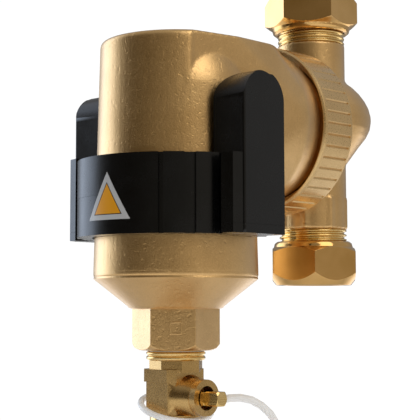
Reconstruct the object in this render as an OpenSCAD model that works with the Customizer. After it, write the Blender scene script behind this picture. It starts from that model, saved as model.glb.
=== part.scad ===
// Magnetic system filter: a forged brass separator vessel with a drain valve, hung on a pipe tee
// by a knurled swivel ring, with a slide-off sleeve that carries the magnets.
// Origin: on the pipe's axis, at the lower socket's pipe stop. +Z up the pipe, -Y toward the vessel.

/* [Pipe tee] */
// Height of the swivel neck's axis above the lower socket's pipe stop
neck_height = 32; // [31.8:0.1:33]
// Depth of each pipe socket
socket_depth = 18; // [17:0.5:19]
// Radius of a socket's bore, for 22 mm pipe
socket_r = 11.1; // [11.08:0.01:11.12]
// Outside radius of the arms and of their threads
arm_r = 13.2; // [13.1:0.05:13.2]
// Largest radius of the belly behind the neck
belly_r = 23.2; // [22:0.1:24]

/* [Compression nuts] */
// Size across the flats of a compression nut
nut_flats = 32; // [31:0.5:33]
// Height of a compression nut
nut_h = 17; // [17:0.5:18]
// Gap between a nut and the end of its thread
nut_standoff = 5; // [4.5:0.1:5.5]

/* [Vessel] */
// Distance between the vessel's axis and the pipe's axis
vessel_offset = 77.4; // [77:0.1:78]
// Radius of the vessel at its foot
vessel_r = 28.8; // [28.6:0.1:28.8]
// Radius of the vessel at its top
vessel_top_r = 26.8; // [26.4:0.1:27.2]
// Height of the vessel's flat top above the neck's axis
top_z = 26; // [25.8:0.1:26.4]
// Depth of the joint between vessel and sump below the neck's axis
foot_depth = 56.3; // [56:0.1:57]
// Half-width of the neck's flat sides
neck_half_w = 22; // [21.8:0.1:22.4]

/* [Swivel ring] */
// Outside radius of the knurled ring
ring_r = 31.5; // [31.3:0.1:31.8]
// Width of the ring
ring_w = 17; // [17:0.5:17.5]
// Number of knurl grooves
knurl_count = 46; // [36:1:54]

/* [Sump and drain valve] */
// Size across the flats of the sump's hexagon
sump_flats = 26.5; // [26:0.5:27]
// Radius of the valve's ball
ball_r = 5; // [4.9:0.05:5]
// Radius of the drain outlet's thread
outlet_r = 10.4; // [10.3:0.05:10.4]
// Tilt of the strap's ring round the valve
strap_tilt = 18; // [17:1:21]

/* [Magnet sleeve] */
// Outside radius of the sleeve's belt
belt_r = 34.6; // [34.4:0.1:35]
// Height of the belt
belt_h = 26.6; // [26:0.2:27]
// Outer face of the magnet housings, from the vessel's axis
ear_x = 41.6; // [41.4:0.1:42.4]
// Width of a magnet housing
ear_w = 20.2; // [20:0.2:20.4]
// Top of the magnet housings above the neck's axis
ear_top = 11.2; // [10:0.2:12]

/* [Hidden] */
$fn = 96;

e = 0.01;
big = 200;

// Tee
stop_z = neck_height;
mouth = stop_z + socket_depth;
thread_pitch = 1.814;                    // eleven and a half turns to 20.9 mm, as on gas threads
thread_l = 13.6;
thread_start = mouth - thread_l;
spigot_r = 26.1;
collar_r = 29.45;
seat_y = 57.6 - vessel_offset;           // front face of the tee's collar
collar_back = 62.4 - vessel_offset;
tube_r = 11;

// Nuts
nut_near = thread_start + nut_standoff;
nut_far = nut_near + nut_h;

// Vessel
foot_z = -foot_depth;
cavity_r = 24;
dome_z = 6;
neck_end = 46;
neck_end_r = 28.6;
neck_full_r = 31;
neck_bore_r = 19.5;
ring_front = 45.2;
lip_y = 50.6;
clip_y = 54.5;

// Core
core_top = -11;
core_bottom = -52;
mesh_r = 16.5;

// Sump
hex_top = -67.4;
hex_bottom = -81.7;
valve_thread_r = 9.6;

// Valve
block_top = -88.1;
block_step = -92.4;
block_bottom = -103.5;
ball_z = -97.5;
boss_r = 6.25;
boss_x = 14.6;
outlet_top = -106.8;
outlet_bottom = -117.6;

// Sleeve
belt_top = -16.4;
belt_bottom = belt_top - belt_h;
parting_z = -29.8;
sleeve_r = 29.3;
ear_front = -10.9;
ear_mid = ear_front + ear_w / 2;
ear_inner = 30;
ear_round = 0.8;
rib_front = -15.6;
rib_tops = [-16.9, -13.2];                // right, left
magnet_y = 10.5;

// Strap: its ring, then the tail's path as [distance from the valve's axis, height, half-thickness]
strap_z = -101.35;
strap_ring_r = 13.3;
strap_low = -20;
strap_tail = [
    [12.3, -102.3, 0.9], [13.7, -100.3, 1.2], [15.8, -98.8, 1.4], [18.6, -98.2, 1.4],
    [22.4, -98.1, 1.4], [26.2, -98.9, 1.4], [29.6, -100.8, 1.4], [32.6, -103.6, 1.4],
    [34.8, -107.2, 1.4], [36, -111.4, 1.4], [36, -115.6, 1.4], [34.6, -119.4, 1.4],
    [31.8, -122.2, 1.4], [28, -123.8, 1.3], [22.4, -124.2, 1.2], [16, -124.1, 1], [6.6, -124, 1]
];
strap_azimuth = 45;

// ---- helpers ----

// Vessel frame: origin on the vessel's axis at the height of the neck's axis
module at_vessel() {
    translate([0, -vessel_offset, neck_height]) children();
}

// Tee frame: origin where the neck's axis meets the pipe's axis
module at_tee() {
    translate([0, 0, neck_height]) children();
}

// Turns a shape made about Z so that its +Z points along +Y
module along_y() {
    rotate([-90, 0, 0]) children();
}

module along_x() {
    rotate([0, 90, 0]) children();
}

// A ring between two radii, from z0 to z1
module ring(r_in, r_out, z0, z1) {
    translate([0, 0, z0])
        difference() {
            cylinder(r = r_out, h = z1 - z0);
            translate([0, 0, -1]) cylinder(r = r_in, h = z1 - z0 + 2);
        }
}

module o_ring(r, cord_r) {
    rotate_extrude() translate([r, 0]) circle(r = cord_r, $fn = 24);
}

// Outline of a thread: crests at radius r from z0 to z1, closed on the axis
function thread_points(r, depth, pitch, z0, z1) =
    let (turns = floor((z1 - z0) / pitch))
    concat(
        [[0, z0], [r - depth, z0]],
        [for (i = [0 : turns - 1], p = [[0.12, 1], [0.38, 1], [0.62, 0], [0.88, 0]])
            [r - depth * p[1], z0 + (i + p[0]) * pitch]],
        [[r - depth, z1], [0, z1]]
    );

module thread(r, depth, pitch, z0, z1) {
    rotate_extrude() polygon(thread_points(r, depth, pitch, z0, z1));
}

// Block with all four vertical corners cut off
module chamfered_block(x0, x1, y0, y1, z0, z1, c) {
    translate([0, 0, z0])
        linear_extrude(z1 - z0)
            polygon([
                [x0 + c, y0], [x1 - c, y0], [x1, y0 + c], [x1, y1 - c],
                [x1 - c, y1], [x0 + c, y1], [x0, y1 - c], [x0, y0 + c]
            ]);
}

// ---- pipe tee ----

// Outline of the belly: a rounded bulge about the pipe, flatter below than above
function belly_points() = [
    [0, -15], [arm_r - 1, -15], [arm_r, -11], [14.6, -9.2], [18.2, -4.2], [21.2, -0.4],
    [22.7, 2.6], [belly_r, 5.6], [belly_r, 7.4], [22.4, 10.8], [20.9, 13.8], [18.9, 16.6],
    [16.4, 19.2], [14.2, 20.9], [arm_r, 22.4], [arm_r - 1, 25], [0, 25]
];

module tee_outside() {
    translate([0, 0, -thread_start]) cylinder(r = arm_r, h = 2 * thread_start);
    for (side = [0, 1])
        mirror([0, 0, side]) {
            thread(arm_r, 0.9, thread_pitch, thread_start - 0.2, mouth - 1);
            translate([0, 0, mouth - 1 - e]) cylinder(r1 = arm_r - 0.2, r2 = arm_r - 0.8, h = 1 + e);
        }
    // Octagonal spanner grip on the lower arm
    translate([0, 0, -thread_start])
        rotate([0, 0, -20.3]) cylinder(r = 13.9, h = 11.8, $fn = 8);
    rotate_extrude() polygon(belly_points());
    // Collar that the swivel ring screws on, and the neck behind it
    along_y() rotate_extrude()
        polygon([
            [0, seat_y], [collar_r - 0.4, seat_y], [collar_r, seat_y + 0.4],
            [collar_r, collar_back], [26.5, collar_back + 0.4], [26.5, -11.4], [24.6, -8],
            [19, -3], [0, -3]
        ]);
}

module pipe_tee() {
    color("#b08d4e")
    at_tee() difference() {
        tee_outside();
        // The belly ends at the collar's face
        translate([-40, seat_y - 20, -40]) cube([80, 20, 80]);
        for (side = [0, 1])
            mirror([0, 0, side]) {
                translate([0, 0, stop_z]) cylinder(r = socket_r, h = big);
                translate([0, 0, mouth - 2.4])
                    cylinder(r1 = socket_r, r2 = 12.64, h = 2.4 + e);
            }
        // Upper arm opens into the ring passage, lower arm into the centre tube
        translate([0, 0, 13.5]) cylinder(r = 9.5, h = stop_z - 13);
        along_y() translate([0, -16, seat_y]) cylinder(r = 4.8, h = -seat_y);
        translate([0, 0, -stop_z - e]) cylinder(r = 9.5, h = stop_z + e);
        sphere(r = 9.5);
        // Ring passage round the seat of the centre tube
        along_y() difference() {
            translate([0, 0, seat_y - e]) cylinder(r = 20, h = 9.8);
            translate([0, 0, seat_y + 3]) cylinder(r = 13.4, h = 20);
        }
        along_y() difference() {
            translate([0, 0, seat_y - e]) cylinder(r = spigot_r + 0.1, h = 4.7);
            translate([0, 0, seat_y + 3]) cylinder(r = 13.4, h = 20);
        }
        along_y() translate([0, 0, seat_y - e]) cylinder(r = tube_r + 0.05, h = 9);
        along_y() translate([0, 0, -20]) cylinder(r = 9, h = 20);
    }
}

module flow_divider() {
    color("#d9d6cc")
    at_vessel() along_y() difference() {
        union() {
            translate([0, 0, 5]) cylinder(r = tube_r, h = vessel_offset + seat_y + 3.9);
            // Locating flange against the seat
            translate([0, 0, vessel_offset + seat_y + 1.6]) cylinder(r = 13.2, h = 1.3);
        }
        translate([0, 0, 4]) cylinder(r = 9.2, h = 80);
    }
}

// ---- compression joints ----

module olive() {
    rotate_extrude()
        polygon([
            [socket_r + 0.05, mouth - 1.2], [11.7, mouth - 1.2], [12.45, mouth + 0.6],
            [12.45, mouth + 1.4], [11.6, mouth + 3.4], [socket_r + 0.05, mouth + 3.4]
        ]);
}

// Nut turned by an angle, as it was left when tightened
module nut(turn) {
    corner_r = nut_flats / 2 / cos(30);
    bore = socket_r + 0.3;
    intersection() {
        rotate_extrude()
            polygon([
                [arm_r + 0.05, nut_near], [14.2, nut_near], [15.1, nut_near + 0.7],
                [15.5, nut_near + 2.2], [corner_r + 0.1, nut_near + 4.3],
                [corner_r + 0.1, nut_far - 4.9], [15.4, nut_far - 1],
                [14.6, nut_far], [bore + 0.5, nut_far], [bore, nut_far - 0.5],
                [bore, nut_far - 4], [arm_r + 0.05, mouth + 0.3]
            ]);
        rotate([0, 0, turn]) translate([0, 0, nut_near - 1])
            cylinder(r = corner_r, h = nut_h + 2, $fn = 6);
    }
}

module upper_olive() {
    color("#b9722f") at_tee() olive();
}

module upper_nut() {
    color("#a8762a") at_tee() nut(33.5);
}

module lower_olive() {
    color("#b9722f") at_tee() mirror([0, 0, 1]) olive();
}

module lower_nut() {
    color("#a8762a") at_tee() mirror([0, 0, 1]) nut(10);
}

// ---- swivel joint ----

module swivel_ring() {
    color("#b3924f")
    at_vessel() along_y() difference() {
        rotate_extrude()
            polygon([
                [30.4, ring_front], [30.7, ring_front], [ring_r - 0.2, ring_front + 0.5],
                [ring_r, ring_front + 1.6], [ring_r, ring_front + ring_w - 0.8],
                [ring_r - 0.8, ring_front + ring_w], [collar_r + 0.05, ring_front + ring_w],
                [collar_r + 0.05, lip_y + 2.8], [27.1, lip_y + 2.8], [27.1, lip_y],
                [30.4, lip_y]
            ]);
        for (i = [0 : knurl_count - 1])
            rotate([0, 0, i * 360 / knurl_count])
                translate([ring_r - 0.5, 0, ring_front + 1.8])
                    rotate([0, 0, -45]) cube([2, 2, ring_w - 3.4]);
    }
}

module slip_washer() {
    color("#e8e6e0") at_vessel() along_y() ring(27.1, 29.2, lip_y + 2.85, lip_y + 3.7);
}

module retaining_clip() {
    color("#8d9095")
    at_vessel() along_y() difference() {
        ring(spigot_r - 0.4, 29, clip_y, clip_y + 2);
        translate([20, -2, clip_y - 1]) cube([12, 4, 4]);
    }
}

module neck_o_ring() {
    color("#222222") at_vessel() along_y() translate([0, 0, 60]) o_ring(25.25, 0.85);
}

// ---- vessel ----

function arc(cx, cy, r, a0, a1, n) =
    [for (i = [0 : n]) let (a = a0 + (a1 - a0) * i / n) [cx + r * cos(a), cy + r * sin(a)]];

// Solid of the vessel about Z, up to height z1, with a rounded top edge
module vessel_barrel(z1, edge) {
    r_top = vessel_r + (vessel_top_r - vessel_r) * (z1 + foot_depth) / (top_z + foot_depth);
    rotate_extrude()
        polygon(concat(
            [[0, foot_z], [vessel_r - 0.5, foot_z], [vessel_r, foot_z + 0.5]],
            arc(r_top - edge, z1 - edge, edge, 0, 90, 6),
            [[0, z1]]
        ));
}

// Flat-topped block that joins the vessel to the neck's round end
module neck_block() {
    intersection() {
        union() {
            hull() {
                translate([-neck_half_w, -14, -20]) cube([2 * neck_half_w, 24, 60]);
                along_y() translate([0, 0, 33])
                    cylinder(r = neck_full_r - 0.1, h = 2, $fn = 64);
            }
            along_y() rotate_extrude()
                polygon([[0, 34], [neck_full_r, 34], [neck_full_r, 36], [29.4, 43], [29.1, 44.6],
                    [neck_end_r, 45.6], [neck_end_r - 0.4, neck_end], [0, neck_end]]);
        }
        translate([-big / 2, -big / 2, -big]) cube([big, big, big + top_z]);
        // Flats under the neck
        for (side = [-1, 1])
            rotate([0, side * 52, 0]) translate([side * (29.2 - big), 0, 0])
                cube(2 * big, center = true);
    }
}

module vessel_outside() {
    r_dome = vessel_r + (vessel_top_r - vessel_r) * (dome_z + foot_depth) / (top_z + foot_depth);
    difference() {
        vessel_barrel(top_z, 1.8);
        // Side walls cut back to the neck's flat sides, above the domed shoulders
        for (side = [0, 1])
            mirror([side, 0, 0]) difference() {
                translate([neck_half_w + 0.03, -40, dome_z]) cube([20, 80, 40]);
                translate([0, 0, dome_z]) sphere(r = r_dome);
            }
    }
    neck_block();
    // Spigot that turns in the tee's collar
    along_y() rotate_extrude()
        polygon([
            [0, 40], [26.8, 40], [26.8, clip_y - 0.1], [spigot_r - 0.5, clip_y - 0.1],
            [spigot_r - 0.5, clip_y + 2.1], [spigot_r, clip_y + 2.1], [spigot_r, 59],
            [24.4, 59], [24.4, 61], [spigot_r, 61], [spigot_r, 61.6],
            [spigot_r - 0.4, 62], [0, 62]
        ]);
}

module housing() {
    color("#b08d4e")
    at_vessel() difference() {
        vessel_outside();
        rotate_extrude()
            polygon(concat(
                [[0, -46], [cavity_r, -46]],
                arc(0, dome_z, cavity_r, 0, 43, 8),
                [[0, dome_z + cavity_r * sin(43)]]
            ));
        // Threaded mouth for the sump
        translate([0, 0, foot_z - 1]) cylinder(r = 25.15, h = 11.3);
        along_y() translate([0, 0, 12]) cylinder(r = neck_bore_r, h = 60);
    }
}

module core_head() {
    color("#3c3f42")
    at_vessel() difference() {
        union() {
            along_y() translate([0, 0, -10]) cylinder(r = 13, h = 27);
            translate([0, 0, core_top - 3]) cylinder(r = 17.6, h = 3);
            translate([0, 0, core_top - 1]) cylinder(r = 12.4, h = 12);
            // Post that bears on the roof of the vessel
            cylinder(r = 6, h = top_z - 3.7);
        }
        along_y() translate([0, 0, 4.6]) cylinder(r = tube_r + 0.05, h = 20);
        translate([0, 0, -20]) cylinder(r = 9.05, h = core_top + 19.7);
        translate([0, 0, -20]) cylinder(r = 7.8, h = 20);
        along_y() cylinder(r = 7.8, h = 20);
        ring(mesh_r - 0.65, mesh_r + 0.05, core_top - 4, core_top - 2);
    }
}

module core_tube() {
    color("#b5743c")
    at_vessel() difference() {
        translate([0, 0, core_bottom + 2]) cylinder(r = 9, h = core_top - core_bottom - 2.4);
        translate([0, 0, core_bottom]) cylinder(r = 7.8, h = 60);
        // Two rows of ports
        for (row = [0 : 2], a = [0 : 60 : 359])
            translate([0, 0, -22 - 10 * row]) rotate([0, 90, a + 30 * (row % 2)])
                cylinder(r = 2, h = 12);
    }
}

module core_mesh() {
    color("#9aa0a6")
    at_vessel() difference() {
        ring(mesh_r - 0.6, mesh_r, core_bottom + 1, core_top - 2.1);
        for (a = [0 : 15 : 359])
            rotate([0, 0, a]) translate([mesh_r - 2, -1.2, core_bottom + 4])
                cube([4, 2.4, 32]);
    }
}

module core_foot() {
    color("#3c3f42")
    at_vessel() difference() {
        translate([0, 0, core_bottom]) cylinder(r = 17.6, h = 3);
        ring(mesh_r - 0.65, mesh_r + 0.05, core_bottom + 0.95, core_bottom + 4);
        ring(7.7, 9.1, core_bottom + 1.95, core_bottom + 4);
    }
}

module flow_baffle() {
    color("#3c3f42")
    at_vessel() difference() {
        union() {
            translate([0, 0, -55.4]) cylinder(r = 21.3, h = 1.6);
            // Hub that carries the core
            translate([0, 0, -55.4]) cylinder(r = 6, h = 3.35);
        }
        for (a = [0 : 30 : 359])
            rotate([0, 0, a]) translate([9, -1.5, -56]) cube([9, 3, 3]);
    }
}

// ---- sump ----

module sump() {
    corner_r = sump_flats / 2 / cos(30);
    color("#ad8848")
    at_vessel() difference() {
        union() {
            rotate_extrude()
                polygon([
                    [0, hex_top], [15.6, hex_top], [16.4, hex_top + 0.25], [16.9, hex_top + 0.9],
                    [vessel_r - 0.1, foot_z - 0.9], [vessel_r - 0.3, foot_z - 0.1],
                    [25.1, foot_z - 0.1], [25.1, -50.8], [23.4, -50.8], [23.4, -48.8],
                    [25.1, -48.8], [25.1, -46.6], [24.6, -46.2], [0, -46.2]
                ]);
            intersection() {
                rotate([0, 0, 40]) translate([0, 0, hex_bottom])
                    cylinder(r = corner_r, h = 15, $fn = 6);
                rotate_extrude()
                    polygon([[0, hex_bottom], [12.6, hex_bottom], [14.2, hex_bottom + 0.7],
                        [corner_r, hex_bottom + 2.2], [corner_r, hex_top + 2], [0, hex_top + 2]]);
            }
        }
        translate([0, 0, -55.5]) cylinder(r = 21.5, h = 20);
        translate([0, 0, -65.5]) cylinder(r1 = 8, r2 = 19.5, h = 10 + e);
        translate([0, 0, -75]) cylinder(r = 7, h = 12);
        translate([0, 0, hex_bottom - 1]) cylinder(r = valve_thread_r + 0.05, h = 12);
    }
}

module sump_o_ring() {
    color("#222222") at_vessel() translate([0, 0, -49.8]) o_ring(24.25, 0.85);
}

// ---- drain valve ----

module valve_outside() {
    thread(valve_thread_r, 0.7, 1.4, -79.8, -71.2);
    rotate_extrude()
        polygon([
            [0, -79.6], [8.6, -79.6], [8.6, -82], [9.9, -82.2], [10.3, -82.7], [9.9, -83.3],
            [9.7, -83.5], [10.2, -83.9], [10.2, -84.6], [9.6, -85.1], [0, -85.1]
        ]);
    rotate([0, 0, 12]) translate([0, 0, block_top - 1]) cylinder(r = 9.4, h = 4.2, $fn = 8);
    chamfered_block(-8.8, 7, -9.2, 9, block_step, block_top, 2.4);
    chamfered_block(-8, 6.3, -8.5, 8.3, block_bottom, block_step + 1, 2);
    translate([0, 0, ball_z]) along_x() cylinder(r = boss_r, h = boss_x);
    translate([4, 0, ball_z]) along_x() cylinder(r1 = 8.4, r2 = boss_r + 0.1, h = 8);
}

module valve_body() {
    color("#9c7433")
    at_vessel() difference() {
        valve_outside();
        translate([0, 0, -100]) cylinder(r = 3.2, h = 40);
        translate([0, 0, -75]) cylinder(r = 6.5, h = 10);
        translate([-20, -20, block_bottom - 20]) cube([40, 40, 20]);
        translate([0, 0, block_bottom - 1]) cylinder(r = ball_r + 0.3, h = 13.4);
        translate([0, 0, ball_z]) along_x() {
            cylinder(r = 2.95, h = 20);
            translate([0, 0, 10.2]) cylinder(r = 4.1, h = 10);
            translate([0, 0, 7.4]) cylinder(r = 3.7, h = 1.5);
        }
    }
}

module valve_seal() {
    color("#d7d3c8") at_vessel() ring(8.65, 9.9, -82, -81.75);
}

module ball_seat() {
    difference() {
        ring(3, ball_r + 0.15, ball_z + 2.6, ball_z + 4.9);
        translate([0, 0, ball_z]) sphere(r = ball_r + 0.05);
    }
}

module ball_seats() {
    color("#f0eee8")
    at_vessel() {
        ball_seat();
        translate([0, 0, 2 * ball_z]) mirror([0, 0, 1]) ball_seat();
    }
}

module valve_ball() {
    color("#c9c9c4")
    at_vessel() translate([0, 0, ball_z]) difference() {
        rotate([0, 0, 45]) sphere(r = ball_r);
        along_y() translate([0, 0, -10]) cylinder(r = 2.6, h = 20);
        translate([3.2, -1.3, -6]) cube([4, 2.6, 12]);
    }
}

module valve_spindle() {
    color("#b5883a")
    at_vessel() translate([0, 0, ball_z]) {
        // Tang in the ball's slot, then the shaft, the flats and the square key
        intersection() {
            translate([3.4, -1.2, -2.3]) cube([3, 2.4, 4.6]);
            along_x() cylinder(r = 2.9, h = 20);
        }
        translate([5.6, 0, 0]) along_x() cylinder(r = 2.9, h = 5);
        intersection() {
            translate([10.5, -3.7, -2.2]) cube([5.6, 7.4, 4.4]);
            along_x() cylinder(r = 3.8, h = 30);
        }
        intersection() {
            translate([16, -2.4, -2.4]) cube([5.6, 4.8, 4.8]);
            along_x() rotate_extrude()
                polygon([[0, 16], [3.1, 16], [3.1, 21], [2.4, 21.6], [0, 21.6]]);
        }
    }
}

module spindle_o_ring() {
    color("#222222")
    at_vessel() translate([8.15, 0, ball_z]) along_x() o_ring(3.32, 0.36);
}

module valve_tailpiece() {
    color("#a8762a")
    at_vessel() difference() {
        union() {
            translate([0, 0, block_bottom - 0.1]) cylinder(r = ball_r + 0.15, h = 1);
            ring(1, 9, outlet_top - 0.2, block_bottom - 0.05);
            thread(outlet_r, 0.8, thread_pitch, outlet_bottom, outlet_top);
        }
        translate([0, 0, -120]) cylinder(r = 3.2, h = 30);
        translate([0, 0, -120]) cylinder(r = 7, h = 9);
    }
}

module cap_washer() {
    color("#222222") at_vessel() ring(6, 10.3, -119.4, outlet_bottom - 0.05);
}

module outlet_cap() {
    color("#b5883a")
    at_vessel() difference() {
        rotate_extrude()
            polygon([
                [0, -126.8], [4.8, -126.8], [5.4, -126.2], [5.4, -125.4], [3.4, -125.4],
                [3.4, -122.6], [11, -122.6], [12.9, -121.4], [13.3, -120], [13.3, -108.2],
                [12.7, -107.4], [outlet_r + 0.05, -107.4], [outlet_r + 0.05, -119.45], [0, -119.45]
            ]);
        for (a = [0 : 15 : 359])
            rotate([0, 0, a]) translate([12.9, 0, -119.6])
                rotate([0, 0, -45]) cube([2, 2, 11]);
    }
}

// Points round the tail's section at path point i: an oval, flat across the strap's plane
function tail_dir(i) =
    let (a = strap_tail[max(i - 1, 0)], b = strap_tail[min(i + 1, len(strap_tail) - 1)])
    let (d = [b[0] - a[0], b[1] - a[1]])
    d / norm(d);

function tail_section(i, n) =
    let (d = tail_dir(i), p = strap_tail[i])
    [for (k = [0 : n - 1])
        let (u = p[2] * cos(k * 360 / n), v = 1.9 * sin(k * 360 / n))
        [p[0] - d[1] * u, v, p[1] + d[0] * u]];

module strap_tail_solid() {
    n = 12;
    m = len(strap_tail);
    points = [for (i = [0 : m - 1]) each tail_section(i, n)];
    sides = [for (i = [0 : m - 2], k = [0 : n - 1])
        let (k2 = (k + 1) % n)
        [i * n + k, i * n + k2, (i + 1) * n + k2, (i + 1) * n + k]];
    ends = [
        [for (k = [0 : n - 1]) n - 1 - k],
        [for (k = [0 : n - 1]) (m - 1) * n + k]
    ];
    polyhedron(points = points, faces = concat(sides, ends));
}

module cap_strap() {
    color("#f2f2ee")
    at_vessel() {
        // Ring round the valve, low on the side of strap_low
        translate([0, 0, strap_z]) rotate([0, 0, strap_low]) rotate([0, strap_tilt, 0])
            rotate_extrude()
                polygon([
                    [11.2, -0.7], [11.6, -0.9], [12.9, -0.9], [strap_ring_r, -0.5],
                    [strap_ring_r, 0.5], [12.9, 0.9], [11.6, 0.9], [11.2, 0.7]
                ]);
        rotate([0, 0, strap_azimuth]) strap_tail_solid();
        ring(3.7, 7.4, -125.1, -122.9);
    }
}

// ---- magnet sleeve ----

// Sector of a disc, between two angles measured from the front (-Y) toward +X
module sector(a0, a1, r) {
    n = ceil((a1 - a0) / 4);
    polygon(concat([[0, 0]],
        [for (i = [0 : n]) let (a = a0 + (a1 - a0) * i / n) [r * sin(a), -r * cos(a)]]));
}

// Outer radius of the belt in bands from the front round to the magnet housings
belt_bands = [
    [34.6, belt_r], [37.4, belt_r - 1.6], [49, belt_r - 0.1], [55.4, belt_r - 1.6],
    [64.6, belt_r - 0.2], [69, belt_r - 0.7], [75.6, belt_r - 2], [84, belt_r + 0.4],
    [113.5, belt_r - 1.6]
];

module belt_outline() {
    difference() {
        union() {
            difference() {
                circle(r = belt_bands[0][1]);
                for (side = [0, 1])
                    mirror([side, 0]) polygon([[0, 0], 60 * [sin(34.6), -cos(34.6)], [60, 20], [0, 60]]);
            }
            for (side = [0, 1], i = [1 : len(belt_bands) - 1])
                mirror([side, 0])
                    intersection() {
                        circle(r = belt_bands[i][1]);
                        sector(belt_bands[i - 1][0], belt_bands[i][0], 60);
                    }
        }
        circle(r = sleeve_r);
    }
}

module belt(z0, z1) {
    translate([0, 0, z0]) linear_extrude(z1 - z0) belt_outline();
}

// Right-hand magnet housing, rounded over the top and down its inner shoulder
module ear(z0, rib_top) {
    h = ear_top - z0;
    r_top = ear_w / 2;
    difference() {
        intersection() {
            translate([28, 0, 0]) rotate([90, 0, 90]) linear_extrude(ear_x - 28) {
                translate([ear_front, z0]) square([ear_w, h - r_top]);
                translate([ear_mid, ear_top - r_top]) circle(r = r_top);
            }
            translate([0, 20, 0]) rotate([90, 0, 0]) linear_extrude(40) {
                translate([28, z0]) square([ear_x - 28, h - 8]);
                translate([36, ear_top - 8]) circle(r = 8);
                translate([36, z0]) square([ear_x - 36, h - 1]);
                translate([36, z0]) square([ear_x - 37, h]);
            }
            // Plan with its front outer corner rounded
            translate([0, 0, z0]) linear_extrude(h + 1) {
                translate([20, ear_front + ear_round]) square([ear_x - 20, ear_w - ear_round]);
                translate([20, ear_front]) square([ear_x - 20 - ear_round, ear_w]);
                translate([ear_x - ear_round, ear_front + ear_round]) circle(r = ear_round);
            }
        }
        translate([0, 0, z0 - 1]) cylinder(r = ear_inner, h = h + 2);
    }
    // Rib down the front, beside the belt
    translate([0, 0, z0]) linear_extrude(rib_top - z0)
        polygon([
            [35.2, ear_front + 0.5], [35.6, rib_front], [39.8, rib_front + 1.1],
            [40.9, ear_front - 0.4], [40.9, ear_front + 0.5]
        ]);
}

module ear_pocket() {
    translate([31.9, ear_mid - magnet_y / 2 - 0.1, -40.2]) cube([7.9, magnet_y + 0.2, 42.4]);
}

belt_magnet_angles = [-60, -26, 0, 26, 60];

module belt_magnet(extra) {
    translate([-4 - extra, -32.5 - extra, -40 - extra])
        cube([8 + 2 * extra, 2 + 2 * extra, 21 + 2 * extra]);
}

module screw_places() {
    for (side = [-1, 1], y = [-8, 7.2])
        translate([side * 36.4, y + ear_mid + 0.8, belt_bottom]) children();
}

module sleeve_shell() {
    color("#1c1c1d")
    at_vessel() difference() {
        union() {
            belt(parting_z + 0.05, belt_top);
            for (side = [0, 1]) mirror([side, 0, 0]) ear(belt_bottom + 3.05, rib_tops[side]);
        }
        for (side = [0, 1]) mirror([side, 0, 0]) ear_pocket();
        for (a = belt_magnet_angles) rotate([0, 0, a]) belt_magnet(0.1);
        screw_places() cylinder(r = 0.95, h = 14);
        // Room for the base ring below the parting line
        difference() {
            translate([0, 0, belt_bottom - 1]) cylinder(r = belt_r + 0.45, h = parting_z - belt_bottom + 1);
            for (side = [0, 1]) mirror([side, 0, 0])
                translate([ear_inner - 1, ear_front, belt_bottom - 2]) cube([20, ear_w, 20]);
        }
    }
}

module sleeve_base() {
    color("#1c1c1d")
    at_vessel() difference() {
        union() {
            difference() {
                belt(belt_bottom, parting_z);
                for (side = [0, 1]) mirror([side, 0, 0])
                    translate([ear_inner - 1.1, ear_front - 0.05, belt_bottom + 3])
                        cube([20, ear_w + 0.1, 20]);
            }
            intersection() {
                for (side = [0, 1]) mirror([side, 0, 0]) ear(belt_bottom, rib_tops[side]);
                translate([-60, -60, belt_bottom]) cube([120, 120, 3]);
            }
        }
        for (a = belt_magnet_angles) rotate([0, 0, a]) belt_magnet(0.1);
        screw_places() {
            translate([0, 0, -1]) cylinder(r = 1.3, h = 5);
            translate([0, 0, -e]) cylinder(r1 = 2.05, r2 = 1.3, h = 1.2);
        }
    }
}

// Stack of three block magnets and the steel plate behind them
module ear_magnets() {
    for (i = [0 : 2])
        translate([32, ear_mid - magnet_y / 2, -40 + 14 * i]) cube([6, magnet_y, 13.8]);
}

module ear_yoke() {
    translate([38.1, ear_mid - magnet_y / 2, -40]) cube([1.5, magnet_y, 42]);
}

module right_ear_magnets() {
    color("#b9bcc2") at_vessel() ear_magnets();
}

module left_ear_magnets() {
    color("#b9bcc2") at_vessel() mirror([1, 0, 0]) ear_magnets();
}

module right_ear_yoke() {
    color("#7d8187") at_vessel() ear_yoke();
}

module left_ear_yoke() {
    color("#7d8187") at_vessel() mirror([1, 0, 0]) ear_yoke();
}

module belt_magnets() {
    color("#b9bcc2")
    at_vessel() for (a = belt_magnet_angles) rotate([0, 0, a]) belt_magnet(0);
}

module sleeve_screws() {
    color("#a9adb3")
    at_vessel() screw_places() {
        difference() {
            union() {
                translate([0, 0, 0.05]) cylinder(r1 = 1.95, r2 = 1.2, h = 1.15);
                translate([0, 0, 1]) cylinder(r = 0.9, h = 11);
                translate([0, 0, 1]) cylinder(r = 1.2, h = 2);
            }
            translate([-1.2, -0.25, -1]) cube([2.4, 0.5, 1.6]);
        }
    }
}

// Triangular sticker on the front of the belt
label_x = 2;
label_low = -38.2;
label_side = 18.4;
label_h = 15.8;

module sleeve_label() {
    color("#e0a020")
    at_vessel() intersection() {
        ring(belt_r + 0.03, belt_r + 0.2, -45, -15);
        translate([label_x, -20, label_low]) rotate([90, 0, 0])
            linear_extrude(30)
                polygon([[-label_side / 2, 0], [label_side / 2, 0], [0, label_h]]);
    }
}

// ---- nodes ----

pipe_tee();
flow_divider();
upper_olive();
upper_nut();
lower_olive();
lower_nut();
slip_washer();
swivel_ring();
retaining_clip();
neck_o_ring();
housing();
core_head();
core_tube();
core_mesh();
core_foot();
flow_baffle();
sump();
sump_o_ring();
valve_body();
valve_seal();
ball_seats();
valve_ball();
valve_spindle();
spindle_o_ring();
valve_tailpiece();
cap_washer();
outlet_cap();
cap_strap();
sleeve_shell();
sleeve_base();
left_ear_magnets();
right_ear_magnets();
left_ear_yoke();
right_ear_yoke();
belt_magnets();
sleeve_screws();
sleeve_label();
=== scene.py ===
import math

import bmesh
import bpy
from mathutils import Matrix, Vector


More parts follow.
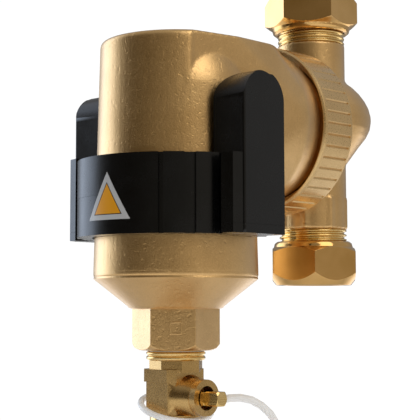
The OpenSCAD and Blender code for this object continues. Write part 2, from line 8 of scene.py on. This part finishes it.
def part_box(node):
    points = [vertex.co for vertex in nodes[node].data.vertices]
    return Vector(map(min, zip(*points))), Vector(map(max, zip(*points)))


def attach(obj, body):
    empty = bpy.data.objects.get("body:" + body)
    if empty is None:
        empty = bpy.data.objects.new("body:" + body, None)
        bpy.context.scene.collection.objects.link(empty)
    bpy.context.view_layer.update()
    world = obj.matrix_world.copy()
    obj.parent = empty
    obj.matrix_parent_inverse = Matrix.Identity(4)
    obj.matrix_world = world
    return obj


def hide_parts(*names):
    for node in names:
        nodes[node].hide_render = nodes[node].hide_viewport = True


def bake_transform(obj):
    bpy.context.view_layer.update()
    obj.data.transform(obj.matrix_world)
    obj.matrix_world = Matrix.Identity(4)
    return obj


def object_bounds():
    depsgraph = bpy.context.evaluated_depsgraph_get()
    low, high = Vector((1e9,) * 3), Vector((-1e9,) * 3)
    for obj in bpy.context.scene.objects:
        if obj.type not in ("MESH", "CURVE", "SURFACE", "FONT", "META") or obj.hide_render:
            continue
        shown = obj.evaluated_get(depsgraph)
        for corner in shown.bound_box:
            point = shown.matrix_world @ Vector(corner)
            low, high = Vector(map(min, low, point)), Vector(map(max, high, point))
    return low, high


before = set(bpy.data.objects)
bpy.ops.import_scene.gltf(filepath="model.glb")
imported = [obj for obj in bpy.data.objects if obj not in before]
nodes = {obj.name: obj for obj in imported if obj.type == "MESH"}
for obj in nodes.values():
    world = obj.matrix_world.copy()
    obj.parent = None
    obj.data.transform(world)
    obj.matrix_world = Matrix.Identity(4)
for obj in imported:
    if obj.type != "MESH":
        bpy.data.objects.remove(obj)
cad_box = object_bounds()

MM = 0.001
AXIS_Y = -77.4      # the vessel's axis, in Y
NECK_Z = 32.0       # the swivel neck's axis, in Z


def at_vessel(x, y, z):
    """Millimetres from the vessel's axis at the neck's height, to metres in the row frame."""
    return Vector((x, AXIS_Y + y, NECK_Z + z)) * MM


def at_tee(x, y, z):
    """Millimetres from the pipe's axis at the neck's height, to metres in the row frame."""
    return Vector((x, y, NECK_Z + z)) * MM


# ---- camera ----

AZ = math.radians(44.357)       # compass turn of the view
PITCH = math.radians(5.588)     # the camera looks slightly upward
DIST = 435.97 * MM              # from the vessel's axis
EYE_Z = -66.63                  # the camera's height, from the neck's axis
SENSOR = 36                     # mm
FOCAL = 106.812                 # mm
SHIFT = (0.08119, -0.060786)    # parts of the sensor's width

back = Vector((-math.sin(AZ), math.cos(AZ), 0))
right = Vector((math.cos(AZ), math.sin(AZ), 0))
look = back * math.cos(PITCH) + Vector((0, 0, math.sin(PITCH)))
up = right.cross(look)
cam_data = bpy.data.cameras.new("camera")
cam_data.sensor_width = SENSOR
cam_data.lens = FOCAL
cam_data.shift_x, cam_data.shift_y = SHIFT
cam_data.clip_start = 0.01
cam = bpy.data.objects.new("camera", cam_data)
place = at_vessel(0, 0, EYE_Z) - back * DIST
cam.matrix_world = Matrix((
    (right.x, up.x, -look.x, place.x),
    (right.y, up.y, -look.y, place.y),
    (right.z, up.z, -look.z, place.z),
    (0, 0, 0, 1),
))
bpy.context.scene.collection.objects.link(cam)
bpy.context.scene.camera = cam


# ---- material helpers ----

class Nodes:
    """Short hand for building one material's node tree."""

    def __init__(self, name):
        self.mat = bpy.data.materials.new(name)
        self.mat.use_nodes = True
        self.tree = self.mat.node_tree
        self.shader = self.tree.nodes["Principled BSDF"]

    def add(self, kind, **values):
        n = self.tree.nodes.new(kind)
        for key, value in values.items():
            setattr(n, key, value)
        return n

    def link(self, a, b):
        self.tree.links.new(a, b)

    def coords(self, scale=(1, 1, 1)):
        tc = self.add("ShaderNodeTexCoord")
        m = self.add("ShaderNodeMapping")
        m.inputs["Scale"].default_value = scale
        self.link(tc.outputs["Object"], m.inputs["Vector"])
        return m.outputs["Vector"]

    def noise(self, scale, detail=2.0, rough=0.5, stretch=(1, 1, 1)):
        n = self.add("ShaderNodeTexNoise")
        n.inputs["Scale"].default_value = scale
        n.inputs["Detail"].default_value = detail
        n.inputs["Roughness"].default_value = rough
        self.link(self.coords(stretch), n.inputs["Vector"])
        return n.outputs["Fac"]

    def ramp(self, fac, stops):
        r = self.add("ShaderNodeValToRGB")
        els = r.color_ramp.elements
        while len(els) < len(stops):
            els.new(0.5)
        for el, (pos, col) in zip(els, stops):
            el.position = pos
            el.color = col if len(col) == 4 else (*col, 1)
        self.link(fac, r.inputs["Fac"])
        return r.outputs["Color"]

    def grey(self, fac, lo, hi, a=0.0, b=1.0):
        m = self.add("ShaderNodeMapRange")
        m.inputs["From Min"].default_value = a
        m.inputs["From Max"].default_value = b
        m.inputs["To Min"].default_value = lo
        m.inputs["To Max"].default_value = hi
        self.link(fac, m.inputs["Value"])
        return m.outputs["Result"]

    def math(self, op, a, b=None, c=None):
        m = self.add("ShaderNodeMath", operation=op)
        for i, v in enumerate((a, b, c)):
            if v is None:
                continue
            if isinstance(v, (int, float)):
                m.inputs[i].default_value = v
            else:
                self.link(v, m.inputs[i])
        return m.outputs[0]

    def bump(self, height, distance, strength=1.0, after=None):
        b = self.add("ShaderNodeBump")
        b.inputs["Distance"].default_value = distance
        b.inputs["Strength"].default_value = strength
        self.link(height, b.inputs["Height"])
        if after is not None:
            self.link(after, b.inputs["Normal"])
        return b.outputs["Normal"]

    def set(self, **values):
        for key, value in values.items():
            s = self.shader.inputs[key.replace("_", " ")]
            if hasattr(value, "is_linked") or hasattr(value, "links"):
                self.link(value, s)
            else:
                s.default_value = value


def forged(name, dark, light, rough=0.34, grain=0.00008, blotch=0.66):
    """Blasted forging: fine sand grain, a few pits, slow clouds of darker and lighter metal."""
    m = Nodes(name)
    cloud = m.noise(48, 5, 0.6)
    fine = m.noise(2300, 2, 0.6)
    pits = m.noise(700, 1, 0.4)
    tone = m.math("ADD", m.math("MULTIPLY", cloud, blotch), m.math("MULTIPLY", fine, 1 - blotch))
    m.link(m.ramp(tone, [(0.34, dark), (0.66, light)]), m.shader.inputs["Base Color"])
    m.link(m.grey(fine, rough - 0.05, rough + 0.07, 0.3, 0.7), m.shader.inputs["Roughness"])
    low = m.bump(m.noise(75, 3, 0.5), 0.0002, 0.22)
    mid = m.bump(m.grey(pits, 0, 1, 0.28, 0.42), grain, 0.5, low)
    m.link(m.bump(fine, grain, 0.7, mid), m.shader.inputs["Normal"])
    m.set(Metallic=1.0, Coat_Weight=0.6, Coat_Roughness=0.3)
    return m.mat


def machined(name, dark, light, rough=0.17, lines=(1, 1, 1), scale=1400, depth=0.000012):
    """Turned or milled metal: fine tool lines along the direction that lines stretches."""
    m = Nodes(name)
    cloud = m.noise(70, 3, 0.5)
    fine = m.noise(scale, 2, 0.6, lines)
    m.link(m.ramp(cloud, [(0.35, dark), (0.65, light)]), m.shader.inputs["Base Color"])
    m.link(m.grey(cloud, rough - 0.03, rough + 0.06, 0.3, 0.7), m.shader.inputs["Roughness"])
    m.link(m.bump(fine, depth, 0.6), m.shader.inputs["Normal"])
    m.set(Metallic=1.0)
    return m.mat


def plastic(name, base, rough=0.4, grain=0.00002, scale=3500, mottle=0.25, sss_and_painted_glow=0.0, shine=0.5):
    """Moulded plastic, slightly mottled. Given a subsurface weight it is translucent, and a faint white
    emission paints a glow on it.
    """
    m = Nodes(name)
    cloud = m.noise(90, 3, 0.6)
    lo = tuple(c * (1 - mottle) for c in base)
    hi = tuple(min(c * (1 + mottle), 1) for c in base)
    m.link(m.ramp(cloud, [(0.3, lo), (0.7, hi)]), m.shader.inputs["Base Color"])
    m.link(m.grey(cloud, rough - 0.04, rough + 0.05, 0.3, 0.7), m.shader.inputs["Roughness"])
    m.link(m.bump(m.noise(scale, 1, 0.5), grain, 0.5), m.shader.inputs["Normal"])
    m.set(Specular_IOR_Level=shine)
    if sss_and_painted_glow:
        m.set(Subsurface_Weight=sss_and_painted_glow, Subsurface_Scale=0.004)
        # A faint white emission: a painted glow that brightens the plastic with no lamp behind it.
        m.set(Emission_Color=(1, 1, 1, 1), Emission_Strength=0.12)
        m.shader.inputs["Subsurface Radius"].default_value = (1, 0.95, 0.9)
    return m.mat


FORGED = forged("forged_brass", (0.64, 0.39, 0.145), (0.84, 0.545, 0.23))
RING = forged("ring_brass", (0.70, 0.455, 0.19), (0.82, 0.56, 0.25), 0.30, 0.00003)
VALVE = forged("valve_brass", (0.52, 0.32, 0.10), (0.68, 0.43, 0.155), 0.27, 0.000006, 1.0)
NUT = machined("machined_brass", (0.68, 0.40, 0.13), (0.80, 0.49, 0.185), 0.13, (1, 1, 0.06))
TURNED = machined("turned_brass", (0.78, 0.52, 0.18), (0.90, 0.65, 0.29), 0.17, (0.04, 0.04, 1),
                  2600, 0.00002)
COPPER = machined("copper", (0.62, 0.30, 0.16), (0.74, 0.40, 0.24), 0.25, (0.05, 0.05, 1))
STEEL = machined("steel", (0.42, 0.42, 0.44), (0.6, 0.6, 0.62), 0.28)
MAGNET = machined("magnet", (0.55, 0.56, 0.6), (0.68, 0.69, 0.72), 0.2)
CHROME = machined("chrome", (0.75, 0.75, 0.76), (0.85, 0.85, 0.86), 0.06)
RUBBER = plastic("rubber", (0.018, 0.018, 0.018), 0.6)
BLACK = plastic("black_plastic", (0.0024, 0.0025, 0.0025), 0.25, 0.000008, 5200, 0.2, shine=0.4)
GREY = plastic("grey_plastic", (0.05, 0.05, 0.055), 0.45)
WHITE = plastic("white_plastic", (0.78, 0.78, 0.76), 0.4, 0.00002, 3000, 0.05)
NATURAL = plastic("natural_plastic", (0.68, 0.65, 0.55), 0.45, 0.00002, 3000, 0.08)
# The strap's plastic: translucent, with a faint painted glow from its emission.
STRAP = plastic("strap_plastic", (0.93, 0.935, 0.93), 0.36, 0.00001, 1500, 0.03, 0.4)


LABEL_SILVER = 1.65     # mm, the label's silver edge
LABEL_INK = 0.30        # mm, the dark line inside it
LABEL_SPAN = 5.0        # mm, the depth that the label's colour ramp covers


def label_material():
    """Printed foil: a silver edge, a thin dark line and an orange field, measured in from the three sides."""
    m = Nodes("label")
    tc = m.add("ShaderNodeTexCoord")
    sep = m.add("ShaderNodeSeparateXYZ")
    m.link(tc.outputs["Object"], sep.inputs[0])
    lo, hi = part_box("sleeve_label")
    half = (hi.x - lo.x) / 2
    height = hi.z - lo.z
    run = math.hypot(half, height)
    z = m.math("SUBTRACT", sep.outputs["Z"], lo.z)
    x = m.math("ABSOLUTE", m.math("SUBTRACT", sep.outputs["X"], (hi.x + lo.x) / 2))
    # distance from a slanted side: (height * (half - x) - half * z) / run
    side = m.math("SUBTRACT", m.math("MULTIPLY", m.math("SUBTRACT", half, x), height / run),
                  m.math("MULTIPLY", z, half / run))
    inward = m.math("MULTIPLY", m.math("MINIMUM", z, side), 1 / MM)
    silver, ink, field = (0.56, 0.57, 0.58), (0.015, 0.014, 0.012), (0.86, 0.37, 0.012)
    ramp = m.add("ShaderNodeValToRGB")
    ramp.color_ramp.interpolation = "CONSTANT"
    els = ramp.color_ramp.elements
    els.new(0.5)
    starts = (0.0, LABEL_SILVER, LABEL_SILVER + LABEL_INK)
    for el, start, col in zip(els, starts, (silver, ink, field)):
        el.position = start / LABEL_SPAN
        el.color = (*col, 1)
    m.link(m.math("DIVIDE", inward, LABEL_SPAN), ramp.inputs["Fac"])
    m.link(ramp.outputs["Color"], m.shader.inputs["Base Color"])
    m.link(m.bump(m.noise(900, 2), 0.00001, 0.4), m.shader.inputs["Normal"])
    m.set(Roughness=0.3, Metallic=0.0)
    return m.mat


LABEL = label_material()

LOOKS = {
    "pipe_tee": FORGED, "flow_divider": NATURAL, "upper_olive": COPPER, "upper_nut": NUT,
    "lower_olive": COPPER, "lower_nut": NUT, "slip_washer": WHITE, "swivel_ring": RING,
    "retaining_clip": STEEL, "neck_o_ring": RUBBER, "housing": FORGED, "core_head": GREY,
    "core_tube": COPPER, "core_mesh": STEEL, "core_foot": GREY, "flow_baffle": GREY,
    "sump": FORGED, "sump_o_ring": RUBBER, "valve_body": VALVE, "valve_seal": NATURAL,
    "ball_seats": WHITE, "valve_ball": CHROME, "valve_spindle": TURNED, "spindle_o_ring": RUBBER,
    "valve_tailpiece": TURNED, "cap_washer": RUBBER, "outlet_cap": NUT, "cap_strap": STRAP,
    "sleeve_shell": BLACK, "sleeve_base": BLACK, "left_ear_magnets": MAGNET,
    "right_ear_magnets": MAGNET, "left_ear_yoke": STEEL, "right_ear_yoke": STEEL,
    "belt_magnets": MAGNET, "sleeve_screws": STEEL, "sleeve_label": LABEL,
}
for name, mat in LOOKS.items():
    o = nodes[name]
    o.data.materials.clear()
    o.data.materials.append(mat)


# ---- mesh helpers ----

def new_object(name, mesh, mat):
    """A new object in the scene, in one material."""
    o = bpy.data.objects.new(name, mesh)
    bpy.context.scene.collection.objects.link(o)
    mesh.materials.clear()
    mesh.materials.append(mat)
    return o


def from_bmesh(name, bm, mat):
    """A new object from a bmesh, with its faces turned outward."""
    bmesh.ops.recalc_face_normals(bm, faces=bm.faces)
    mesh = bpy.data.meshes.new(name)
    bm.to_mesh(mesh)
    bm.free()
    return new_object(name, mesh, mat)


def smooth_shaded(mesh):
    for face in mesh.polygons:
        face.use_smooth = True


def evened(o, mat, voxel, rounds):
    """Rebuilds an object as one closed skin of small even faces, and rounds its edges by smoothing."""
    skin = o.modifiers.new("skin", "REMESH")
    skin.mode = "VOXEL"
    skin.voxel_size = voxel
    relax = o.modifiers.new("round", "SMOOTH")
    relax.factor = 0.5
    relax.iterations = rounds
    bpy.context.view_layer.update()
    posed = o.evaluated_get(bpy.context.evaluated_depsgraph_get())
    mesh = bpy.data.meshes.new_from_object(posed)
    o.modifiers.clear()
    o.data = mesh
    mesh.materials.clear()
    mesh.materials.append(mat)
    return mesh


def forged_skin(node, name, body, mat, voxel, rounds, reshape=None):
    """A fine, evenly rounded copy of a CAD node, as a forging has: no edge is sharp."""
    mesh = nodes[node].data.copy()
    bm = bmesh.new()
    bm.from_mesh(mesh)
    bmesh.ops.remove_doubles(bm, verts=bm.verts, dist=1e-6)
    bmesh.ops.recalc_face_normals(bm, faces=bm.faces)
    bm.to_mesh(mesh)
    bm.free()
    o = new_object(name, mesh, mat)
    skin = evened(o, mat, voxel, rounds)
    if reshape:
        for v in skin.vertices:
            v.co = reshape(v.co)
    smooth_shaded(skin)
    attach(o, body)
    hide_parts(node)
    return o


def soften(node, width):
    """Breaks a CAD node's sharp edges; width is in mm."""
    o = nodes[node]
    weld = o.modifiers.new("weld", "WELD")
    weld.merge_threshold = 2e-6
    edge = o.modifiers.new("edge", "BEVEL")
    edge.width = width * MM
    edge.segments = 2
    edge.limit_method = "ANGLE"
    edge.angle_limit = math.radians(38)
    edge.harden_normals = True
    smooth_shaded(o.data)
    o.modifiers.new("normals", "WEIGHTED_NORMAL").keep_sharp = True


def lathe(name, body, mat, profile, where, steps=160):
    """A ring turned about Z from a closed (r, z) profile in mm."""
    bm = bmesh.new()
    rows = []
    for k in range(steps):
        a = 2 * math.pi * k / steps
        rows.append([bm.verts.new(where(r * math.cos(a), r * math.sin(a), z)) for r, z in profile])
    for this, following in zip(rows, rows[1:] + rows[:1]):
        for i in range(len(profile)):
            j = (i + 1) % len(profile)
            bm.faces.new((this[i], this[j], following[j], following[i]))
    o = from_bmesh(name, bm, mat)
    smooth_shaded(o.data)
    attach(o, body)
    return o


# One pitch of thread: how far along the pitch, and how high from root (0) to crest (1)
THREAD_FORM = [(0.0, 0.0), (0.14, 0.06), (0.30, 0.86), (0.40, 1.0),
               (0.54, 1.0), (0.64, 0.86), (0.80, 0.06), (0.94, 0.0)]
THREAD_FADE = 0.5       # mm over which the ridge rises at each end
THREAD_WALL = 0.5       # mm of wall behind the root, hidden in the arm


def helix(name, body, mat, core_r, crest_r, pitch, z0, z1, where, up=1, per_turn=96):
    """A threaded sleeve: one closed band whose rounded ridge climbs as a right-hand helix."""
    bm = bmesh.new()

    def vert(r, a, z):
        return bm.verts.new(where(r * math.cos(a), up * r * math.sin(a), up * z))

    columns = []
    inner = []
    rows = int((z1 - z0) / pitch) + 2
    for k in range(per_turn):
        a = 2 * math.pi * k / per_turn
        column = []
        for row in range(-1, rows):
            for along_pitch, height in THREAD_FORM:
                z = z0 + (k / per_turn + row + along_pitch) * pitch
                fade = max(0, min(1, (z - z0) / THREAD_FADE, (z1 - z) / THREAD_FADE))
                r = core_r + (crest_r - core_r) * height * fade
                column.append(vert(r, a, min(max(z, z0), z1)))
        columns.append(column)
        inner.append([vert(core_r - THREAD_WALL, a, z) for z in (z0, z1)])
    for k in range(per_turn):
        last = k == per_turn - 1
        a = columns[k]
        b = columns[0] if last else columns[k + 1]
        # after a full turn the band meets itself one pitch higher
        climb = len(THREAD_FORM) if last else 0
        for i in range(len(a) - 1 - climb):
            bm.faces.new((a[i], a[i + 1], b[i + 1 + climb], b[i + climb]))
        # the two ends and the hidden inner wall close the band
        p, q = inner[k], inner[(k + 1) % per_turn]
        bm.faces.new((a[0], b[0], q[0], p[0]))
        bm.faces.new((p[0], q[0], q[1], p[1]))
        bm.faces.new((p[1], q[1], b[-1], a[-1]))
    bmesh.ops.remove_doubles(bm, verts=bm.verts, dist=2e-6)
    bmesh.ops.dissolve_degenerate(bm, dist=1e-7, edges=bm.edges)
    o = from_bmesh(name, bm, mat)
    smooth_shaded(o.data)
    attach(o, body)
    return o


# ---- vessel and tee: fine forged skins, with turned details ----

THREAD_ROOT, THREAD_CREST, THREAD_PITCH = 12.2, 13.16, 1.814
THREAD_START, THREAD_END = 36.4, 49.2       # from the neck's axis, up or down


def thread_core(co):
    """Draws the arms' smoothed grooves in, under the turned threads that stand on them."""
    high = abs(co.z / MM - NECK_Z)
    r = math.hypot(co.x, co.y) / MM
    if THREAD_START + 0.2 < high < THREAD_END - 0.2 and 11.9 < r < 13.6:
        root = THREAD_ROOT - 0.2
        return Vector((co.x * root / r, co.y * root / r, co.z))
    return co


housing = forged_skin("housing", "housing_forging", "vessel", FORGED, 0.0006, 5)
tee = forged_skin("pipe_tee", "tee_forging", "tee", FORGED, 0.0005, 3, thread_core)

# Turned threads on the tee's arms, standing just proud of the forging's smoothed grooves
for side, label in ((1, "upper"), (-1, "lower")):
    thread = helix(f"{label}_arm_thread", "tee", TURNED, THREAD_ROOT, THREAD_CREST, THREAD_PITCH,
                   THREAD_START, THREAD_END, at_tee, side)

# The foot's rim, turned true where the sump closes on it
FOOT_RIM = [(27.0, -57.0), (28.45, -56.6), (28.66, -56.3), (28.74, -55.9),
            (28.76, -55.2), (28.70, -54.4), (28.3, -53.6), (27.0, -53.2)]
seam = lathe("foot_rim", "vessel", FORGED, FOOT_RIM, at_vessel)

# Turned collar and bead between the sump and the valve's block
VALVE_COLLAR = [(7.0, -79.8), (8.66, -79.8), (8.66, -81.9), (9.7, -82.1), (10.1, -82.25), (10.35, -82.7),
                (10.1, -83.15), (9.78, -83.42), (9.78, -83.55), (10.15, -83.8), (10.29, -84.2),
                (10.15, -84.7), (9.66, -85.12), (7.0, -85.12)]
collar = lathe("valve_collar", "vessel", TURNED, VALVE_COLLAR, at_vessel)


def sump_mark():
    """A plain square outline raised on one face of the sump's hexagon."""
    face = math.radians(-50)
    out = Vector((math.cos(face), math.sin(face), 0))
    across = Vector((-math.sin(face), math.cos(face), 0))
    centre = out * 13.2 + across * 0.9 + Vector((0, 0, -73.9))
    # the outline's section: half the square's width, and the height above the face
    section = ((2.2, -0.3), (2.2, 0.05), (2.05, 0.12), (1.75, 0.12), (1.6, 0.05), (1.6, -0.3))
    bm = bmesh.new()
    loops = []
    for half, height in section:
        loops.append([
            bm.verts.new(at_vessel(*(centre + out * height + across * sx * half + Vector((0, 0, sz * half)))))
            for sx, sz in ((-1, -1), (1, -1), (1, 1), (-1, 1))
        ])
    for a, b in zip(loops, loops[1:] + loops[:1]):
        for i in range(4):
            bm.faces.new((a[i], a[(i + 1) % 4], b[(i + 1) % 4], b[i]))
    o = from_bmesh("sump_mark", bm, FORGED)
    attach(o, "vessel")


sump_mark()

# Broken edges on the turned and moulded pieces, in mm
EDGES = {
    "upper_nut": 0.22, "lower_nut": 0.22, "swivel_ring": 0.12, "sump": 0.35, "sleeve_shell": 0.30,
    "sleeve_base": 0.30, "valve_body": 0.25, "valve_spindle": 0.22, "valve_tailpiece": 0.12,
    "outlet_cap": 0.25,
}
for name, width in EDGES.items():
    soften(name, width)

# The strap is one smooth moulding, left where it stands. Its eye turns freely under the cap, so on the valve
# it follows the cap down without turning; the ring round the valve stays.
strap = new_object("strap_moulding", nodes["cap_strap"].data.copy(), STRAP)
smooth_shaded(evened(strap, STRAP, 0.00025, 8))
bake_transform(strap)
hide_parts("cap_strap")


# ---- stage and light ----

FLOOR_R = 0.80
FLOOR_DROP = 0.066      # below the object, clear of the sleeve when it is drawn off


def stage_floor():
    bm = bmesh.new()
    bmesh.ops.create_circle(bm, cap_ends=True, segments=96, radius=FLOOR_R)
    mesh = bpy.data.meshes.new("floor")
    bm.to_mesh(mesh)
    bm.free()
    m = Nodes("floor")
    m.link(m.ramp(m.noise(1.5, 2), [(0.3, (0.80, 0.80, 0.80)), (0.7, (0.84, 0.84, 0.84))]),
           m.shader.inputs["Base Color"])
    # The far part of the floor is lit up to the white of the wall behind it, the near part a little
    tc = m.add("ShaderNodeTexCoord")
    far = m.add("ShaderNodeVectorMath", operation="DOT_PRODUCT")
    far.inputs[1].default_value = back
    m.link(tc.outputs["Object"], far.inputs[0])
    glow = m.ramp(m.grey(far.outputs["Value"], 0.0, 1.0, -FLOOR_R, FLOOR_R / 2),
                  [(0.0, (0.45,) * 3), (0.55, (0.36,) * 3), (0.75, (0.04,) * 3), (0.93, (1.0,) * 3)])
    m.link(glow, m.shader.inputs["Emission Strength"])
    m.set(Roughness=0.8, Emission_Color=(1, 1, 1, 1), Specular_IOR_Level=0.1)
    o = new_object("floor", mesh, m.mat)
    o.location = at_vessel(0, 30, 0)
    o.location.z = cad_box[0][2] - FLOOR_DROP


stage_floor()


def area(name, where, aim, size, power, colour):
    data = bpy.data.lights.new(name, "AREA")
    data.shape = "RECTANGLE"
    data.size, data.size_y = size
    data.energy = power
    data.color = colour
    o = bpy.data.objects.new(name, data)
    bpy.context.scene.collection.objects.link(o)
    o.location = where
    o.rotation_euler = (Vector(aim) - Vector(where)).to_track_quat("-Z", "Y").to_euler()


centre = at_vessel(0, 25, -20)


def around(angle, dist, height):
    """A place round the object: angle 0 is at the camera, positive to its right."""
    t = math.radians(angle)
    d = -back * math.cos(t) + right * math.sin(t)
    return centre + d * dist + Vector((0, 0, height))


area("key", around(40, 0.9, 0.85), centre, (0.8, 0.8), 3.6, (1.0, 0.97, 0.92))

# Surroundings by compass angle from the camera: white walls behind and to the left,
# a dark gap in front of the left wall, a warm grey room on the camera's side.
ROOM = [
    (-180, (0.22, 0.22, 0.22)), (-152, (0.24, 0.25, 0.26)), (-138, (2.0, 2.3, 2.8)),
    (-111, (2.0, 2.3, 2.8)), (-98, (0.30, 0.28, 0.25)), (-84, (0.05, 0.037, 0.022)),
    (-52, (0.06, 0.045, 0.026)), (-34, (0.11, 0.09, 0.062)), (0, (0.22, 0.195, 0.155)),
    (35, (0.38, 0.34, 0.28)), (75, (0.40, 0.37, 0.33)), (112, (0.40, 0.40, 0.40)),
    (180, (0.22, 0.22, 0.22)),
]
ROOM_STRENGTH = 4.0             # a ramp holds no colour above 1, so the walls are stored divided by this
CEILING = (0.10, 0.098, 0.095, 1)
BACKDROP = (0.26, 0.26, 0.26, 1)    # what the camera itself sees


def studio_room():
    """The world: walls by compass angle, a dim ceiling, and a plain white backdrop for the camera."""
    world = bpy.data.worlds.new("studio")
    bpy.context.scene.world = world
    world.use_nodes = True
    tree = world.node_tree
    shader = tree.nodes["Background"]
    direction = tree.nodes.new("ShaderNodeTexCoord")

    def along(v):
        n = tree.nodes.new("ShaderNodeVectorMath")
        n.operation = "DOT_PRODUCT"
        n.inputs[1].default_value = v
        tree.links.new(direction.outputs["Generated"], n.inputs[0])
        return n.outputs["Value"]

    def mixed(factor, a, b):
        """a where the factor is 0, the fixed colour b where it is 1."""
        n = tree.nodes.new("ShaderNodeMix")
        n.data_type = "RGBA"
        tree.links.new(factor, n.inputs["Factor"])
        tree.links.new(a, n.inputs[6])
        n.inputs[7].default_value = b
        return n.outputs[2]

    turn = tree.nodes.new("ShaderNodeMath")
    turn.operation = "ARCTAN2"
    tree.links.new(along(right), turn.inputs[0])
    tree.links.new(along(-back), turn.inputs[1])
    part = tree.nodes.new("ShaderNodeMapRange")
    part.inputs["From Min"].default_value = -math.pi
    part.inputs["From Max"].default_value = math.pi
    tree.links.new(turn.outputs[0], part.inputs["Value"])
    walls = tree.nodes.new("ShaderNodeValToRGB")
    stops = walls.color_ramp.elements
    while len(stops) < len(ROOM):
        stops.new(0.5)
    for stop, (deg, col) in zip(stops, ROOM):
        stop.position = (deg + 180) / 360
        stop.color = (*(c / ROOM_STRENGTH for c in col), 1)
    tree.links.new(part.outputs["Result"], walls.inputs["Fac"])
    rise = tree.nodes.new("ShaderNodeMapRange")
    rise.interpolation_type = "SMOOTHSTEP"
    rise.inputs["From Min"].default_value = 0.30
    rise.inputs["From Max"].default_value = 0.85
    tree.links.new(along(Vector((0, 0, 1))), rise.inputs["Value"])
    room = mixed(rise.outputs["Result"], walls.outputs["Color"], CEILING)
    path = tree.nodes.new("ShaderNodeLightPath")
    tree.links.new(mixed(path.outputs["Is Camera Ray"], room, BACKDROP), shader.inputs["Color"])
    shader.inputs["Strength"].default_value = ROOM_STRENGTH


studio_room()
bpy.context.scene.view_settings.view_transform = "Standard"
